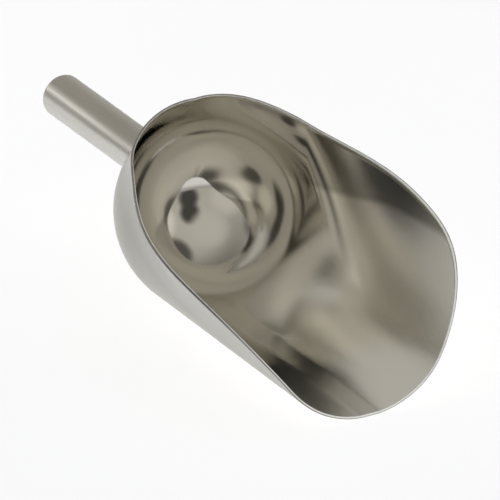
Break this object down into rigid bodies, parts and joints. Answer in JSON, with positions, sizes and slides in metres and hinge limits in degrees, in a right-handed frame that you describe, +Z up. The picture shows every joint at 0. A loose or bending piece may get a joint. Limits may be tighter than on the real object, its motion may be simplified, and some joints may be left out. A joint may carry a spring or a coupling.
{
  "type": "ice scoop",
  "caption": "Stainless steel ice scoop: round backed pressed bowl with flared sides and a rounded lip, on a straight closed tube handle.",
  "frame": {"origin": "on the surface that the scoop rests on, below the middle of its overall length and on its plane of symmetry", "axes": "+X runs from the handle out of the mouth, +Y is to the left as the scoop is pushed forward, +Z is up"},
  "size_m": [0.2994, 0.1438, 0.1009],
  "materials": {
    "bowl_steel": "mirror polished inside, satin outside, bright edge",
    "handle_steel": "brushed lengthwise",
    "weld_steel": "ground and brushed weld"
  },
  "bodies": {
    "root": {"bowl": "bowl_steel", "handle_tube": "handle_steel", "handle_end_cap": "handle_steel", "handle_root_weld": "weld_steel", "end_cap_weld": "weld_steel"}
  },
  "joints": []
}
